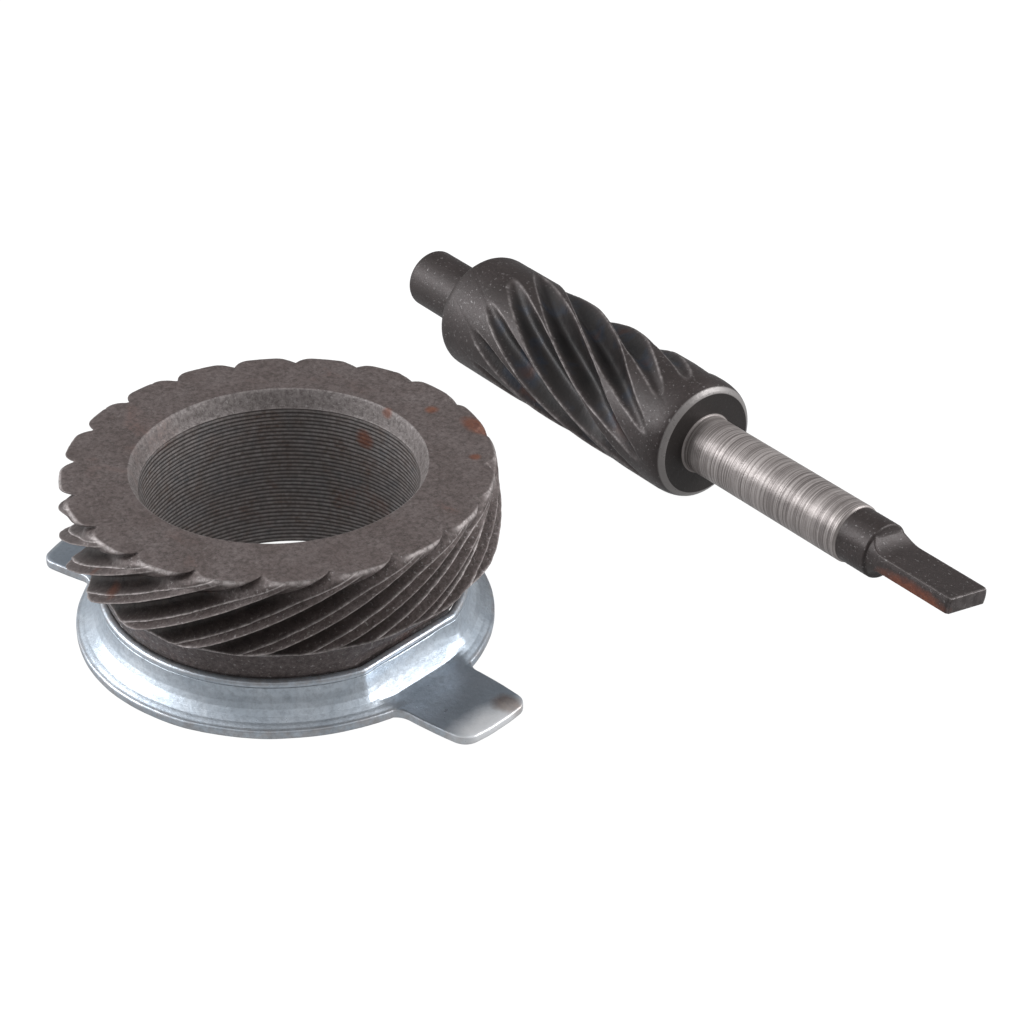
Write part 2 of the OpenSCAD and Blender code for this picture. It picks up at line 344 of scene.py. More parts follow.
def build_plate():
    fine = []
    for e in EAR_DIRS:
        c = math.radians(e)
        fine.append(np.linspace(c - math.radians(18), c + math.radians(18), 260))
    coarse = np.linspace(0, 2 * PI, 420, endpoint=False)
    keep = np.ones(len(coarse), bool)
    for e in EAR_DIRS:
        keep &= np.abs(wrap(coarse - math.radians(e))) > math.radians(18.3)
    th = np.sort(np.mod(np.concatenate([coarse[keep]] + fine), 2 * PI))
    n = len(th)
    R_out = np.full(n, RIM)
    lat = np.full(n, 99.0)          # angle to the nearest ear axis
    for e, reach in EARS:
        p = wrap(th - math.radians(e))
        R_out = np.maximum(R_out, ear_outer(p, reach))
        lat = np.where(np.abs(p) < np.abs(lat), p, lat)
    c3 = np.stack([RIM * np.cos(th), RIM * np.sin(th), np.zeros(n)], -1)
    R_out = R_out + 0.05 * fbm(c3, 3.0, 31, 3) - 0.05
    t_sheet = 0.85

    hole = 16.47
    # how far the collar's flats lie inside its round part
    inset = 17.32 - softmin(np.full(n, 17.32), flat_limit(th, 16.3), 0.05)
    # sweep from the rim up to the collar, as height over radius
    sweep_r = np.array([17.32, 17.36, 17.45, 17.62, 17.9, 18.3, 18.8, 19.3, 19.7])
    sweep_z = np.array([4.1, 3.6, 3.05, 2.5, 2.0, 1.55, 1.2, 0.97, 0.86])

    def top_height(r, th, lat):
        moved = r + inset * (1 - smooth(17.6, 19.5, r))
        cone = np.interp(moved, sweep_r, sweep_z)
        y = r * np.sin(lat)
        x = r * np.cos(lat)
        hw = np.interp(x, [17, 20, 27.3], [5.0, 4.6, 4.2])
        plane = 0.90 + 0.12 * smooth(20.0, 17.6, x)
        inear = (1 - smooth(hw - 2.2, hw + 0.9, np.abs(y))) * (np.abs(lat) < 0.5)
        # flat slope from the lip down to the crease at the ear's foot
        slope = np.interp(x, [16.3, 16.5, 16.8, 17.2, 17.55], [4.1, 3.2, 2.45, 1.65, 1.02])
        foot = np.maximum(slope, plane)
        low = np.where(x < 17.55, foot, plane)
        z = cone * (1 - inear) + low * inear
        return np.where(r > RIM, plane, z)

    rows = []
    # inner wall of the collar, going up
    for z in np.linspace(3.2, 4.18, 6):
        rows.append(("in", hole, z))
    for a in np.linspace(180, 0, 9):
        rows.append(("lip", hole + 0.425 + 0.425 * math.cos(math.radians(a)), 4.22 + 0.30 * math.sin(math.radians(a))))
    for z in np.linspace(4.05, 3.7, 3):
        rows.append(("lipout", 17.32, z))
    nt = 64
    for k in range(nt):
        rows.append(("top", k / (nt - 1), 0))
    for k in range(1, 6):
        rows.append(("edge", k / 6, 0))
    nb = 24
    for k in range(nb):
        rows.append(("bot", k / (nb - 1), 0))
    m = len(rows)
    P = np.zeros((m, n, 3))
    edge = np.zeros((m, n))
    earm = np.zeros((m, n))
    rr0 = 17.33
    for j, (kind, a, b) in enumerate(rows):
        if kind in ("in", "lip", "lipout"):
            r = a - inset
            z = np.full(n, b)
            if kind == "lip":
                edge[j] = 1.0
                # the collar's edge waves a little
                cc = np.stack([a * np.cos(th), a * np.sin(th), np.full(n, 3.0)], -1)
                z = z + 0.04 * vnoise(cc, 6.0, 77)
        elif kind == "top":
            # more rings near the collar; the last one is just short of the edge
            u = a ** 1.25
            r = rr0 - inset + (R_out - 0.14 - rr0 + inset) * u
            z = top_height(r, th, lat)
            near = smooth(R_out - 0.7, R_out - 0.14, r)
            z = z - 0.05 * near
            edge[j] = smooth(0.55, 1.0, near) * 0.8
        elif kind == "edge":
            u = a
            ang = u * PI
            bulge = math.sin(ang)
            zt = top_height(R_out - 0.14, th, lat) - 0.05
            zb = np.full(n, 0.03)
            r = R_out - 0.14 + 0.14 * min(1.0, bulge * 1.6)
            z = zt + (zb - zt) * (0.5 - 0.5 * math.cos(ang))
            edge[j] = 1.0
        else:
            # underside, from the rim back to the collar's foot
            u = a
            r_in = hole - inset
            r = (R_out - 0.14) + (r_in - (R_out - 0.14)) * u
            # height of the underside = top surface less the sheet, not below the floor
            rs = np.minimum(r + 0.62 * smooth(19.6, 17.2, r), R_out - 0.14)
            z = top_height(np.maximum(rs, rr0 - inset), th, lat) - t_sheet * (1 + 0.15 * smooth(19.0, 17.4, r))
            z = np.maximum(z, 0.0)
            z = z * (1 - smooth(0.93, 1.0, u)) + 3.0 * smooth(0.93, 1.0, u)
        P[j, :, 0] = r * np.cos(th)
        P[j, :, 1] = r * np.sin(th)
        P[j, :, 2] = z
        x = r * np.cos(lat)
        y = r * np.sin(lat)
        earm[j] = (1 - smooth(4.2, 5.6, np.abs(y))) * smooth(17.6, 18.6, x) * (np.abs(lat) < 0.5)
    flat = P.reshape(-1, 3)
    kinds = np.repeat(np.array([1 if k in ("top", "edge", "lip", "lipout") else 0 for k, _, _ in rows]), n)
    # slight waviness of the stamping
    dz = 0.045 * fbm(flat, 5.0, 41, 2) + 0.010 * fbm(flat, 0.9, 43, 2)
    flat[:, 2] += np.where(kinds > 0, dz - 0.02, 0)
    flat[:, 2] = np.clip(flat[:, 2], 0.0, 4.5)
    rad = np.hypot(flat[:, 0], flat[:, 1])
    P = flat.reshape(m, n, 3)
    return grid_mesh("plate_detail", P[::-1], {"edgewear": edge[::-1], "ear": earm[::-1]}, close_v=True)


# ------------------------------------------------------------------ worm shaft
HEAD_X, SHAFT_Y, SHAFT_Z = 8.5, 44.9, 6.3
WT, WR = 6.3, 4.58
HEAD = 35.8
WLEAD = 80.0
WPHASE = 22.0
STARTS = 11
WC = 0.00708
ROLL = -9.5


def build_worm():
    half = 180.0 / STARTS
    xs = np.concatenate([[-half, -half + 0.4, -half + 0.8, -half + 1.2, -half + 1.7, -half + 2.4],
                         np.linspace(-half + 3.1, half - 3.1, 30),
                         [half - 2.4, half - 1.7, half - 1.2, half - 0.8, half - 0.4]])
    th0 = np.radians((np.arange(STARTS)[:, None] * 2 * half + xs[None, :] + WPHASE + half).ravel())
    n = len(th0)
    rings = []          # (kind, s, r)
    def ring(kind, s, r):
        rings.append((kind, s, r))
    # pilot
    s0 = -HEAD - 10
    for r in (0.6, 1.6, 2.3, 2.55):
        ring("p", s0, r)
    for s, r in round_corner((s0, 2.6), (s0, 2.72), (s0 + 0.45, 3.2), 0.15, 3):
        ring("p", s, r)
    for s, r in round_corner((s0 + 0.1, 2.85), (s0 + 0.5, 3.2), (s0 + 2, 3.2), 0.5, 5):
        ring("p", s, r)
    for s in np.arange(s0 + 0.9, -HEAD - 0.3, 0.22):
        ring("p", s, 3.2)
    for s, r in ((-HEAD - 0.12, 3.2), (-HEAD - 0.02, 3.26), (-HEAD, 3.4)):
        ring("p", s, r)
    for r in np.linspace(3.7, 5.6, 9):
        ring("f", -HEAD, r)
    # head
    ss = np.concatenate([np.array([0, 0.04, 0.12, 0.25, 0.42, 0.65, 0.95, 1.3, 1.7]),
                         np.arange(2.1, 34.0, 0.21),
                         np.array([34.05, 34.3, 34.55, 34.8, 34.95, 35.1, 35.2, 35.3, 35.38, 35.44, 35.6, 35.8])]) - HEAD
    for s in ss:
        ring("h", s, 0)
    # face and journal
    for r in np.linspace(5.35, 3.25, 14):
        ring("face", -0.02 * smooth(5.4, 4.9, r), r)
    for s, r in ((0.0, 3.16), (0.03, 3.06), (0.12, 3.0)):
        ring("s", s, r)
    for s in np.arange(0.25, 21.05, 0.125):
        ring("s", s, 3.0)
    for s, r in ((21.1, 3.0), (21.25, 2.99), (21.38, 2.93), (21.42, 2.83)):
        ring("s", s, r)
    for s in np.arange(21.55, 25.0, 0.16):
        ring("u", s, 2.83)
    for s, r in ((25.02, 2.82), (25.12, 2.78), (25.18, 2.70), (25.2, 2.62)):
        ring("u", s, r)
    st = np.concatenate([np.arange(25.3, 28.2, 0.1), np.arange(28.35, 35.5, 0.25), [35.62, 35.74, 35.82, 35.87]])
    for s in st:
        ring("t", s, 2.6)
    for k in (0.85, 0.6, 0.3, 0.08):
        ring("e", 35.9, k)
    m = len(rings)
    P = np.zeros((m, n, 3))
    wear = np.zeros((m, n))
    groove_shade_amt = np.zeros((m, n))
    ground = np.zeros((m, n))
    facem = np.zeros((m, n))
    tangm = np.zeros((m, n))
    chamf = np.zeros((m, n))
    ws = np.array([-35.8, -35.76, -35.68, -35.5, -35.2, -34.85, -2.2, -1.6, -1.1, -0.72, -0.42, -0.36, 0.0])
    wr = np.array([5.75, 5.93, 6.04, 6.17, 6.27, 6.3, 6.3, 6.26, 6.18, 6.08, 5.95, 5.88, 5.40])
    ds = np.array([-35.8, -30.3, -29, -27, -25, -22, -19, -13, -11, -9.4, -6.1, -4, -2.6, 0])
    dd = np.array([0, 0, .35, .77, 1.05, 1.5, 1.72, 1.72, 1.45, 1.0, .5, .3, 0, 0])
    roll = math.radians(ROLL)
    half_t = 0.81

    def tang_radius(s, a):
        """cross-section radius: round, cut by two flats with a cutter run-out"""
        c = 27.3
        rc = 2.4
        if s >= c:
            h = half_t
        else:
            dx = c - s
            h = half_t + rc - math.sqrt(max(rc * rc - dx * dx, 0.0)) if dx < rc else 9.0
        sn = np.abs(np.sin(a - roll))
        cut = h / np.maximum(sn, 1e-6)
        k = 0.06
        d = 2.6 - cut
        r = np.where(d < -k, 2.6, np.where(d > k, cut, (2.6 + cut) / 2 - d * d / (4 * k) - k / 4))
        return r, np.exp(-(d / 0.12) ** 2)

    for j, (kind, s, rr) in enumerate(rings):
        r = np.full(n, float(rr))
        sv = np.full(n, float(s))
        th = th0 + 2 * PI * float(np.clip(s, -HEAD, 0.0)) / WLEAD
        if kind == "h":
            a0 = math.radians(WPHASE) + 2 * PI * s / WLEAD
            q = (th - a0) / (2 * PI / STARTS) - 0.5
            c = np.stack([np.full(n, s), 5.5 * np.cos(th), 5.5 * np.sin(th)], -1)
            env = float(np.interp(s, ws, wr))
            start = np.round(q)
            x = (q - start) * 2 * half + 0.35 * fbm(c, 2.0, 51, 2)
            jit = 0.35 * np.sin(np.mod(start, STARTS) * 2.4 + 1.0)
            depth_c = np.interp(s + jit, ds, dd)
            floor = WT - depth_c + WC * x * x
            r = softmin(floor, np.full(n, env), 0.05)
            g = floor - env
            depth = np.clip(depth_c / 0.5, 0, 1)
            edge = np.exp(-(g / 0.13) ** 2)
            chip = np.clip(fbm(c, 0.5, 59, 2) - 0.10, 0, 1)
            r = r - edge * chip * 0.07 * depth
            wear[j] = edge * depth * np.clip(0.75 + 0.5 * fbm(c, 0.5, 61, 2), 0, 1.1)
            # painted shade: darker the deeper the groove floor lies under the crest
            groove_shade_amt[j] = smooth(0.06, 0.75, env - r) * np.clip(depth_c / 0.7, 0, 1)
            chamf[j] = smooth(-0.46, -0.38, s)
        elif kind in ("face", "f"):
            facem[j] = 1.0 if kind == "face" else 0.3
            sv = sv + (0.012 * math.cos(2 * PI * rr / 0.34) if kind == "face" else 0)
        elif kind == "s":
            ground[j] = 1
            r = r - 0.004 * (1 + math.sin(s * 21.0)) * (1 if 0.2 < s < 21 else 0)
        elif kind == "u":
            r = r - 0.010 * (1 + math.sin(s * 14.0))
            tangm[j] = 0.4
        elif kind in ("t", "e"):
            tr, te = tang_radius(s, th)
            tangm[j] = 1
            if kind == "t":
                sh = 1 - 0.05 * smooth(35.55, 35.87, s) 
                r = tr * sh
                wear[j] = te * 0.35 * smooth(26.2, 27.5, s) + 0.5 * smooth(35.6, 35.85, s)
            else:
                r = tr * rr
                wear[j] = 0.2
        P[j, :, 0] = HEAD_X + sv
        P[j, :, 1] = SHAFT_Y + r * np.cos(th)
        P[j, :, 2] = SHAFT_Z + r * np.sin(th)
    P[:, :, 2] = np.maximum(P[:, :, 2], 0.0)
    return grid_mesh("worm_detail", P[:, ::-1], {
        "wear": wear[:, ::-1], "groove_shade": groove_shade_amt[:, ::-1], "ground": ground[:, ::-1], "endface": facem[:, ::-1],
        "tang": tangm[:, ::-1], "chamfer": chamf[:, ::-1]}, cap_first=True, cap_last=True)


# ------------------------------------------------------------------ materials
class Nodes:
    def __init__(self, name):
        self.mat = bpy.data.materials.new(name)
        self.mat.use_nodes = True
        self.nt = self.mat.node_tree
        self.bsdf = next(x for x in self.nt.nodes if x.type == "BSDF_PRINCIPLED")
        self.coord = self.nt.nodes.new("ShaderNodeTexCoord").outputs["Object"]

    def link(self, a, b):
        self.nt.links.new(a, b)

    def _set(self, sock, v):
        if hasattr(v, "is_output") or isinstance(v, bpy.types.NodeSocket):
            self.link(v, sock)
        else:
            sock.default_value = v

    def mapping(self, scale=(1, 1, 1), rot=(0, 0, 0)):
        nd = self.nt.nodes.new("ShaderNodeMapping")
        nd.inputs["Scale"].default_value = scale
        nd.inputs["Rotation"].default_value = rot
        self.link(self.coord, nd.inputs["Vector"])
        return nd.outputs["Vector"]

    def noise(self, scale, detail=4.0, rough=0.55, vec=None, distortion=0.0):
        nd = self.nt.nodes.new("ShaderNodeTexNoise")
        nd.inputs["Scale"].default_value = scale
        nd.inputs["Detail"].default_value = detail
        nd.inputs["Roughness"].default_value = rough
        nd.inputs["Distortion"].default_value = distortion
        self.link(vec if vec is not None else self.coord, nd.inputs["Vector"])
        return nd.outputs["Fac"]

    def voronoi(self, scale, vec=None):
        nd = self.nt.nodes.new("ShaderNodeTexVoronoi")
        nd.inputs["Scale"].default_value = scale
        self.link(vec if vec is not None else self.coord, nd.inputs["Vector"])
        return nd.outputs["Distance"]

    def ramp(self, fac, stops):
        nd = self.nt.nodes.new("ShaderNodeValToRGB")
        el = nd.color_ramp.elements
        while len(el) < len(stops):
            el.new(0.5)
        for e, (p, c) in zip(el, stops):
            e.position = p
            e.color = c if len(c) == 4 else (*c, 1)
        self.link(fac, nd.inputs["Fac"])
        return nd.outputs["Color"]

    def maprange(self, v, a, b, c=0.0, d=1.0):
        nd = self.nt.nodes.new("ShaderNodeMapRange")
        self.link(v, nd.inputs["Value"])
        for key, val in (("From Min", a), ("From Max", b), ("To Min", c), ("To Max", d)):
            nd.inputs[key].default_value = val
        return nd.outputs["Result"]

    def mix(self, fac, a, b, mode="MIX"):
        nd = self.nt.nodes.new("ShaderNodeMix")
        nd.data_type = "RGBA"
        nd.blend_type = mode
        self._set(nd.inputs["Factor"], fac)
        self._set(nd.inputs["A"] if False else nd.inputs[6], a if not isinstance(a, tuple) else (*a, 1)[:4])
        self._set(nd.inputs[7], b if not isinstance(b, tuple) else (*b, 1)[:4])
        return nd.outputs[2]

    def math(self, op, a, b=0.0, clamp=False):
        nd = self.nt.nodes.new("ShaderNodeMath")
        nd.operation = op
        nd.use_clamp = clamp
        self._set(nd.inputs[0], a)
        self._set(nd.inputs[1], b)
        return nd.outputs[0]

    def attr(self, name):
        nd = self.nt.nodes.new("ShaderNodeAttribute")
        nd.attribute_type = "GEOMETRY"
        nd.attribute_name = name
        return nd.outputs["Fac"]

    def bump(self, height, strength, distance, normal=None):
        nd = self.nt.nodes.new("ShaderNodeBump")
        nd.inputs["Strength"].default_value = strength
        nd.inputs["Distance"].default_value = distance
        self.link(height, nd.inputs["Height"])
        if normal is not None:
            self.link(normal, nd.inputs["Normal"])
        return nd.outputs["Normal"]

    def ellipse(self, centre, size, soft=0.35, wob=0.5, scale=900):
        """Blotch mask round a point in metres: 1 inside, 0 outside, with a ragged edge."""
        sub = self.nt.nodes.new("ShaderNodeVectorMath")
        sub.operation = "SUBTRACT"
        self.link(self.coord, sub.inputs[0])
        sub.inputs[1].default_value = centre
        div = self.nt.nodes.new("ShaderNodeVectorMath")
        div.operation = "DIVIDE"
        self.link(sub.outputs[0], div.inputs[0])
        div.inputs[1].default_value = size
        ln = self.nt.nodes.new("ShaderNodeVectorMath")
        ln.operation = "LENGTH"
        self.link(div.outputs[0], ln.inputs[0])
        d = self.math("ADD", ln.outputs["Value"], self.math("MULTIPLY", self.noise(scale, 3.0), wob))
        return self.maprange(d, 1.0 + wob * 0.5 - soft, 1.0 + wob * 0.5 + soft, 1.0, 0.0)


def mat_gear():
    N = Nodes("sintered_steel_dark")
    wear, groove_shade_amt, bore, top, turn = N.attr("wear"), N.attr("groove_shade"), N.attr("borewall"), N.attr("topface"), N.attr("turn")
    big = N.noise(260, 5, 0.6)
    fine = N.noise(2300, 6, 0.75)
    base = N.ramp(big, [(0.25, (0.118, 0.090, 0.083)), (0.55, (0.158, 0.127, 0.120)), (0.8, (0.205, 0.172, 0.165))])
    base = N.mix(N.maprange(fine, 0.38, 0.62, 0.75, 0.0), base, (0.045, 0.034, 0.030))
    sparkle = N.maprange(N.noise(3300, 3, 0.6), 0.60, 0.70, 0.0, 0.8)
    sparkle = N.math("MULTIPLY", sparkle, N.maprange(top, 0.0, 1.0, 1.0, 0.25))
    base = N.mix(sparkle, base, (0.36, 0.33, 0.32))
    # turned bore: light crests, dark brown furrows, bluish and rusty cast in places
    tone = N.ramp(N.noise(330, 4, 0.6, distortion=0.5), [(0.30, (0.16, 0.105, 0.080)), (0.5, (0.17, 0.150, 0.140)), (0.72, (0.15, 0.160, 0.170))])
    crest = N.mix(N.maprange(N.noise(1900, 4, 0.7), 0.35, 0.65, 0.0, 1.0), tone, (0.33, 0.30, 0.29))
    wall = N.mix(N.math("MULTIPLY", turn, 1.0, True), crest, (0.030, 0.023, 0.020))
    base = N.mix(N.maprange(bore, 0.55, 0.95), base, wall)
    leadin = N.math("MULTIPLY", N.maprange(bore, 0.1, 0.4), N.maprange(bore, 0.9, 0.6), True)
    base = N.mix(N.math("MULTIPLY", leadin, N.maprange(fine, 0.35, 0.6, 0.15, 0.6)), base, (0.30, 0.275, 0.265))
    # painted shade: groove bottoms and down-facing flanks darkened to near black with a brown tint
    groove_shade_col = N.mix(N.maprange(N.noise(900, 5, 0.7), 0.35, 0.7), (0.014, 0.009, 0.008), (0.060, 0.044, 0.038))
    base = N.mix(N.math("MULTIPLY", groove_shade_amt, 0.96), base, groove_shade_col)
    worn = N.math("MULTIPLY", wear, N.maprange(N.noise(2100, 4, 0.7), 0.36, 0.58, 0.25, 1.0), True)
    base = N.mix(worn, base, (0.66, 0.60, 0.58))
    rust_col = N.ramp(N.noise(1600, 4, 0.7), [(0.3, (0.10, 0.028, 0.016)), (0.7, (0.22, 0.080, 0.040))])
    mask = None
    for cx, s in GEAR_RUST:
        e = N.ellipse(cx, s)
        mask = e if mask is None else N.math("MAXIMUM", mask, e)
    broad = N.math("MULTIPLY", N.maprange(N.noise(150, 4, 0.6, distortion=0.8), 0.60, 0.72, 0.0, 0.35), N.maprange(fine, 0.4, 0.6), True)
    mask = N.math("MAXIMUM", N.math("MULTIPLY", mask, 0.8), broad)
    base = N.mix(mask, base, rust_col)
    N.link(base, N.bsdf.inputs["Base Color"])
    N.bsdf.inputs["Metallic"].default_value = 0.30
    rough = N.maprange(fine, 0.3, 0.7, 0.62, 0.42)
    rough = N.math("SUBTRACT", rough, N.math("MULTIPLY", worn, 0.08))
    N.link(rough, N.bsdf.inputs["Roughness"])
    b1 = N.bump(fine, 0.75, 0.00010)
    b2 = N.bump(N.voronoi(1500), 0.25, 0.00005, b1)
    N.link(b2, N.bsdf.inputs["Normal"])
    return N.mat


def mat_plate():
    N = Nodes("zinc_plate")
    edge, ear = N.attr("edgewear"), N.attr("ear")
    cloud = N.noise(170, 5, 0.6, distortion=0.4)
    grain = N.noise(1900, 5, 0.7)
    base = N.ramp(cloud, [(0.25, (0.36, 0.42, 0.48)), (0.5, (0.52, 0.58, 0.64)), (0.75, (0.66, 0.71, 0.76))])
    base = N.mix(N.maprange(grain, 0.44, 0.68, 0.0, 0.45), base, (0.22, 0.24, 0.27))
    spots = N.maprange(N.voronoi(420), 0.05, 0.12, 0.7, 0.0)
    spots = N.math("MULTIPLY", spots, N.maprange(N.noise(120, 3, 0.5), 0.5, 0.62))
    base = N.mix(spots, base, (0.13, 0.11, 0.10))
    wear = N.math("MULTIPLY", edge, N.maprange(N.noise(900, 4, 0.7), 0.38, 0.62), True)
    base = N.mix(N.math("MULTIPLY", wear, 0.35), base, (0.40, 0.31, 0.25))
    rust_col = N.ramp(N.noise(1500, 4, 0.7), [(0.3, (0.12, 0.06, 0.035)), (0.7, (0.32, 0.20, 0.13))])
    mask = None
    for cx, s in PLATE_RUST:
        e = N.ellipse(cx, s, wob=0.9, scale=700)
        mask = e if mask is None else N.math("MAXIMUM", mask, e)
    base = N.mix(N.math("MULTIPLY", mask, 0.6), base, rust_col)
    # painted highlight: near-white, less metallic patch at the first ear's tip
    tip = N.ellipse((0.0268, 0.0042, 0.0009), (0.0022, 0.0045, 0.002), soft=0.45, wob=0.5, scale=500)
    # painted shade: the ears' flat faces are darkened and cooled towards blue, fading out near the edges and at the tip
    # highlight
    ear_flat_shade = N.math("SUBTRACT", N.math("MULTIPLY", ear, N.maprange(edge, 0.0, 0.4, 1.0, 0.0)), tip, True)
    base = N.mix(N.math("MULTIPLY", ear_flat_shade, 0.55), base, (0.26, 0.30, 0.35))
    # painted highlight at the ear tip
    base = N.mix(N.math("MULTIPLY", tip, 0.8), base, (0.90, 0.90, 0.90))
    base = N.mix(N.math("MULTIPLY", mask, 0.45), base, rust_col)
    N.link(base, N.bsdf.inputs["Base Color"])
    N.link(N.maprange(tip, 0, 1, 0.8, 0.45), N.bsdf.inputs["Metallic"])
    N.link(N.maprange(grain, 0.3, 0.7, 0.27, 0.42), N.bsdf.inputs["Roughness"])
    b1 = N.bump(N.noise(2000, 5, 0.75), 0.45, 0.00006)
    b2 = N.bump(N.noise(500, 3, 0.5), 0.2, 0.00008, b1)
    N.link(b2, N.bsdf.inputs["Normal"])
    return N.mat


def mat_worm():
    N = Nodes("shaft_steel")
    wear, groove_shade_amt, ground = N.attr("wear"), N.attr("groove_shade"), N.attr("ground")
    face, tang, chamf = N.attr("endface"), N.attr("tang"), N.attr("chamfer")
    big = N.noise(230, 5, 0.6)
    fine = N.noise(2400, 5, 0.7)
    base = N.ramp(big, [(0.25, (0.030, 0.022, 0.020)), (0.6, (0.050, 0.038, 0.036)), (0.85, (0.082, 0.066, 0.063))])
    base = N.mix(N.maprange(fine, 0.38, 0.62, 0.7, 0.0), base, (0.032, 0.025, 0.023))
    base = N.mix(N.maprange(N.noise(3300, 3, 0.6), 0.62, 0.71, 0.0, 0.6), base, (0.30, 0.28, 0.275))
    # painted shade at the groove floors, with bluish and rust-brown oxide tints mixed in
    groove_shade_col = N.ramp(N.noise(240, 3, 0.5), [(0.3, (0.010, 0.009, 0.009)), (0.5, (0.020, 0.016, 0.015)), (0.60, (0.016, 0.021, 0.032)), (0.74, (0.050, 0.020, 0.013))])
    base = N.mix(N.math("MULTIPLY", groove_shade_amt, 0.95), base, groove_shade_col)
    worn = N.math("MULTIPLY", wear, N.maprange(N.noise(1300, 4, 0.65), 0.35, 0.62, 0.2, 1.0), True)
    base = N.mix(N.math("MULTIPLY", worn, 0.85), base, (0.40, 0.36, 0.35))
    # ground journal: turning marks along the shaft
    lines = N.noise(1.0, 3, 0.6, N.mapping((9000, 60, 60)))
    jour = N.mix(N.maprange(lines, 0.40, 0.60), (0.16, 0.138, 0.130), (0.46, 0.415, 0.395))
    jour = N.mix(N.maprange(N.noise(420, 4, 0.65), 0.52, 0.70, 0.0, 0.5), jour, (0.20, 0.175, 0.165))
    base = N.mix(ground, base, jour)
    base = N.mix(N.math("MULTIPLY", face, 0.8), base, (0.030, 0.026, 0.024))
    base = N.mix(N.math("MULTIPLY", chamf, 0.9), base, (0.27, 0.25, 0.24))
    rust_col = N.ramp(N.noise(1600, 4, 0.7), [(0.3, (0.13, 0.03, 0.015)), (0.7, (0.28, 0.085, 0.04))])
    mask = None
    for cx, s in WORM_RUST:
        e = N.ellipse(cx, s, wob=0.8, scale=1100)
        mask = e if mask is None else N.math("MAXIMUM", mask, e)
    base = N.mix(N.math("MULTIPLY", mask, 0.75), base, rust_col)
    N.link(base, N.bsdf.inputs["Base Color"])
    N.link(N.maprange(ground, 0, 1, 0.35, 0.45), N.bsdf.inputs["Metallic"])
    rough = N.maprange(fine, 0.3, 0.7, 0.36, 0.52)
    rough = N.math("SUBTRACT", rough, N.math("MULTIPLY", ground, 0.04))
    rough = N.math("SUBTRACT", rough, N.math("MULTIPLY", chamf, 0.12))
    N.link(rough, N.bsdf.inputs["Roughness"])
    b1 = N.bump(fine, 0.5, 0.00006)
    b2 = N.bump(lines, 0.5, 0.00002, b1)
    N.link(b2, N.bsdf.inputs["Normal"])
    return N.mat


# rust patches: centre and size in metres, in the model's frame
GEAR_RUST = [
    ((0.0059, 0.0182, 0.0168), (0.0017, 0.0010, 0.0015)),
    ((0.0103, 0.0147, 0.0168), (0.0005, 0.0005, 0.0006)),
    ((0.0009, 0.0167, 0.0168), (0.0006, 0.0006, 0.0006)),
    ((0.0008, -0.0194, 0.0114), (0.0013, 0.0012, 0.0006)),
    ((0.0006, -0.0194, 0.0127), (0.0010, 0.0010, 0.0004)),
    ((-0.0039, 0.0123, 0.0129), (0.0009, 0.0009, 0.0009)),
    ((-0.0016, 0.0132, 0.0165), (0.0006, 0.0006, 0.0005))]
PLATE_RUST = [((0.0250, 0.0068, 0.0009), (0.0013, 0.0011, 0.0010))]
WORM_RUST = [((0.0400, 0.0423, 0.0060), (0.0040, 0.0009, 0.0009))]

# ------------------------------------------------------------------ build
gear = build_gear()
gear.data.materials.append(mat_gear())
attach(gear, "worm_gear")
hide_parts("worm_gear")

plate = build_plate()
plate.data.materials.append(mat_plate())
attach(plate, "drive_plate")
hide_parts("drive_plate")

worm = build_worm()
worm.data.materials.append(mat_worm())
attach(worm, "worm_shaft")
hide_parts("worm_shaft")

# ------------------------------------------------------------------ stage
def plane(name, size, z):
    me = bpy.data.meshes.new(name)
    s = size / 2
    me.from_pydata([(-s, -s, z), (s, -s, z), (s, s, z), (-s, s, z)], [], [(0, 1, 2, 3)])
    ob = bpy.data.objects.new(name, me)
    bpy.context.scene.collection.objects.link(ob)
    return ob


floor = plane("floor", 6.0, -0.00002)
fm = bpy.data.materials.new("floor_white")
fm.use_nodes = True
fb = next(x for x in fm.node_tree.nodes if x.type == "BSDF_PRINCIPLED")
fb.inputs["Base Color"].default_value = (0.10, 0.10, 0.10, 1)
fb.inputs["Roughness"].default_value = 1.0
fb.inputs["Specular IOR Level"].default_value = 0.0
fb.inputs["Emission Color"].default_value = (1, 1, 1, 1)
fb.inputs["Emission Strength"].default_value = 0.98
floor.data.materials.append(fm)
floor.visible_diffuse = False
floor.visible_glossy = False

# camera: measured in a frame turned by VIEW about Z
VIEW = math.radians(51.83)
ELEV = math.radians(32.10)
U = 0.020
cx, cy, cz = 1.0634, -11.098, 7.5343
cam_d = bpy.data.cameras.new("camera")
cam_d.sensor_width = 36.0
cam_d.lens = 2842.0 / 1024.0 * 36.0
cam_d.clip_start = 0.005
cam_d.clip_end = 50
cam = bpy.data.objects.new("camera", cam_d)
bpy.context.scene.collection.objects.link(cam)
co, si = math.cos(VIEW), math.sin(VIEW)
cam.location = ((cx * co - cy * si) * U, (cx * si + cy * co) * U, cz * U)
cam.rotation_euler = (PI / 2 - ELEV, 0, VIEW)
bpy.context.scene.camera = cam


def turned(x, y, z):
    """A point given in the camera-aligned frame, in model metres."""
    return ((x * co - y * si) * U, (x * si + y * co) * U, z * U)


def area(name, loc, target, size, power, color=(1, 1, 1)):
    from mathutils import Vector
    d = bpy.data.lights.new(name, "AREA")
    d.shape = "RECTANGLE"
    d.size, d.size_y = size
    d.energy = power
    d.color = color
    o = bpy.data.objects.new(name, d)
    bpy.context.scene.collection.objects.link(o)
    o.location = loc
    o.rotation_euler = (Vector(target) - Vector(loc)).to_track_quat("-Z", "Y").to_euler()
    return o


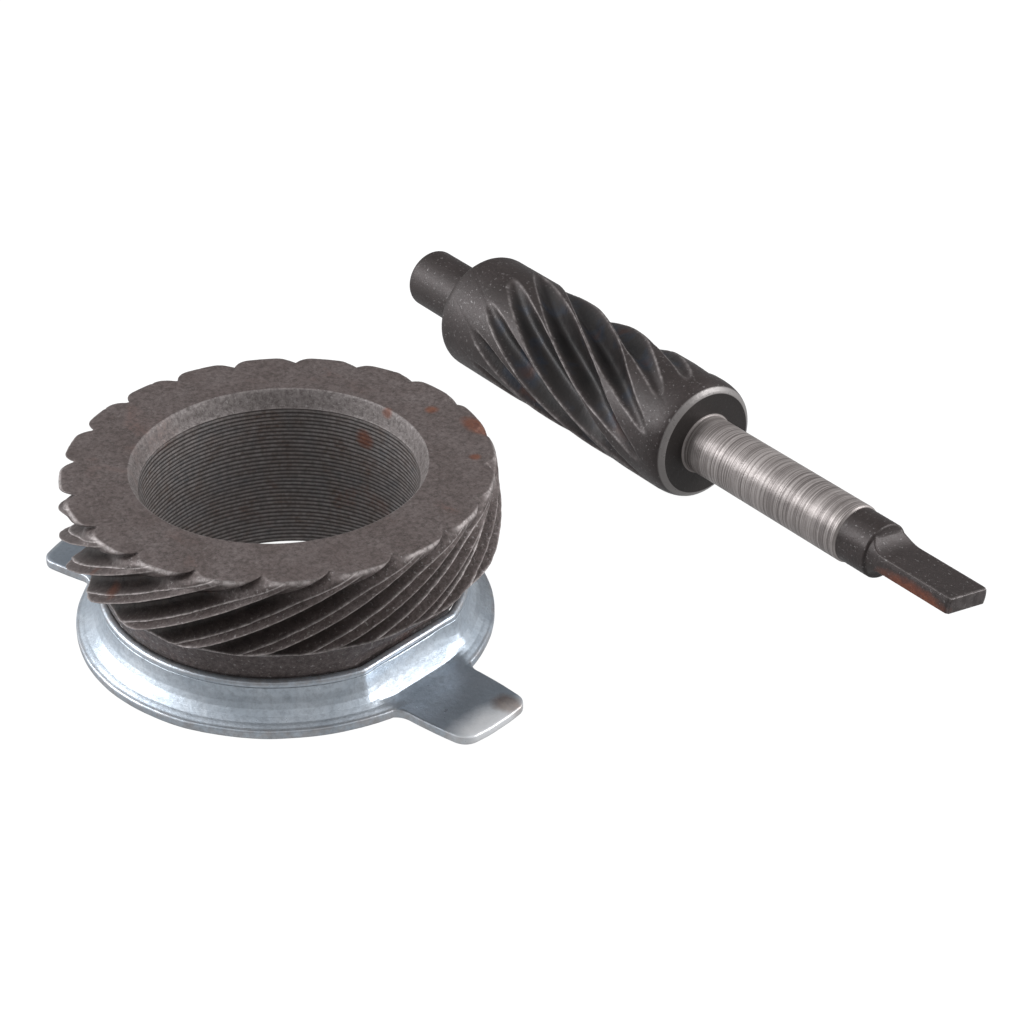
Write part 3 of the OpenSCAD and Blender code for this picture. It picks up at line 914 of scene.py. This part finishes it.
mid = turned(0.6, 0.4, 0.3)
area("left_soft", turned(-22, 2, 12), mid, (0.30, 0.30), 1.6, (0.95, 0.97, 1.0))
area("right_soft", turned(22, 0, 12), mid, (0.25, 0.30), 1.4, (0.97, 0.98, 1.0))

# studio surround: dim ahead and behind, bright soft panels at the sides, dark below
w = bpy.data.worlds.new("studio")
bpy.context.scene.world = w
w.use_nodes = True
wt = w.node_tree
bg = next(x for x in wt.nodes if x.type == "BACKGROUND")
gen = wt.nodes.new("ShaderNodeTexCoord").outputs["Generated"]


def lobe(x, y, z, lo, hi, gain):
    """Soft bright patch of the surround towards (x, y, z) of the camera-aligned frame."""
    ln = math.sqrt(x * x + y * y + z * z)
    dp = wt.nodes.new("ShaderNodeVectorMath")
    dp.operation = "DOT_PRODUCT"
    wt.links.new(gen, dp.inputs[0])
    dp.inputs[1].default_value = ((x * co - y * si) / ln, (x * si + y * co) / ln, z / ln)
    mr = wt.nodes.new("ShaderNodeMapRange")
    mr.interpolation_type = "SMOOTHSTEP"
    wt.links.new(dp.outputs["Value"], mr.inputs["Value"])
    for key, val in (("From Min", lo), ("From Max", hi), ("To Min", 0.0), ("To Max", gain)):
        mr.inputs[key].default_value = val
    return mr.outputs["Result"]


def total(socks):
    out = socks[0]
    for k in socks[1:]:
        nd = wt.nodes.new("ShaderNodeMath")
        nd.operation = "ADD"
        wt.links.new(out, nd.inputs[0])
        wt.links.new(k, nd.inputs[1])
        out = nd.outputs[0]
    return out


sky = total([
    lobe(0, 0, 1, -0.25, 0.15, 0.26),        # above the horizon
    lobe(0, 0, -1, -0.05, 0.25, 0.50),       # light off the table
    lobe(0, 0, 1, 0.70, 1.00, 0.35),         # overhead
    lobe(-1, 0.15, 0.45, 0.55, 0.95, 1.0),   # left panel
    lobe(1, 0.15, 0.50, 0.60, 0.95, 0.9),    # right panel
    lobe(0, -1, 0.9, 0.80, 1.0, 0.25)])      # over the camera
wt.links.new(sky, bg.inputs["Strength"])
bg.inputs["Color"].default_value = (0.97, 0.98, 1.0, 1)

sc = bpy.context.scene
sc.view_settings.view_transform = "Standard"
sc.view_settings.look = "None"
sc.view_settings.exposure = 0.0
